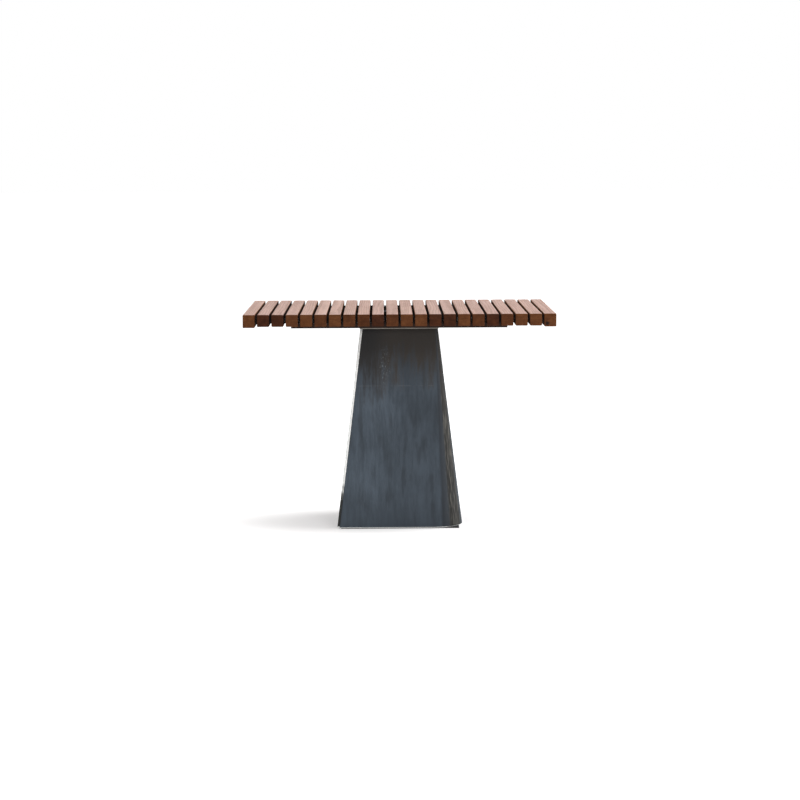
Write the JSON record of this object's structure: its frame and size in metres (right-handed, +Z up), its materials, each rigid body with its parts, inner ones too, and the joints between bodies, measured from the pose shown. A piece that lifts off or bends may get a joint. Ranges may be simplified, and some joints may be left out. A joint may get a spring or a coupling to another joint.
{
  "type": "backless bench",
  "caption": "Backless bench: a flat seat of parallel square hardwood slats on a tapered pedestal folded from steel sheet, with a recessed plinth at the floor.",
  "frame": {"origin": "on the floor, under the centre of the seat, which is also the middle of the plinth's underside", "axes": "+X along the seat, across the slats; +Y to the rear, along the slats; +Z up"},
  "size_m": [0.634, 0.45, 0.455],
  "materials": {
    "hardwood": "oiled, fine sawn",
    "waxed_steel": "clear-waxed blued mill scale, satin",
    "dark_steel": "blackened, satin",
    "mill_steel": "mill scale, matt",
    "stainless": "plain",
    "zinc_steel": "zinc plated",
    "black_polymer": "matt"
  },
  "bodies": {
    "root": {"slat_01": "hardwood", "slat_02": "hardwood", "slat_03": "hardwood", "slat_04": "hardwood", "slat_05": "hardwood", "slat_06": "hardwood", "slat_07": "hardwood", "slat_08": "hardwood", "slat_09": "hardwood", "slat_10": "hardwood", "slat_11": "hardwood", "slat_12": "hardwood", "slat_13": "hardwood", "slat_14": "hardwood", "slat_15": "hardwood", "slat_16": "hardwood", "slat_17": "hardwood", "slat_18": "hardwood", "slat_19": "hardwood", "slat_20": "hardwood", "slat_21": "hardwood", "slat_22": "hardwood", "tie_rod_front": "stainless", "tie_rod_middle": "stainless", "tie_rod_rear": "stainless", "tie_rod_nuts": "stainless", "tie_rod_washers": "stainless", "spacers_front": "black_polymer", "spacers_middle": "black_polymer", "spacers_rear": "black_polymer", "seat_rail_front": "dark_steel", "seat_rail_rear": "dark_steel", "cross_bar_left": "dark_steel", "cross_bar_right": "dark_steel", "cap_plate": "dark_steel", "slat_screws_front": "stainless", "slat_screws_rear": "stainless", "frame_screws": "zinc_steel", "frame_nuts": "zinc_steel", "anchor_nuts": "zinc_steel", "shell_front_right": "waxed_steel", "shell_rear_left": "waxed_steel", "stiffener_plate": "mill_steel", "base_plate": "mill_steel", "plinth_plate": "mill_steel"}
  },
  "joints": []
}
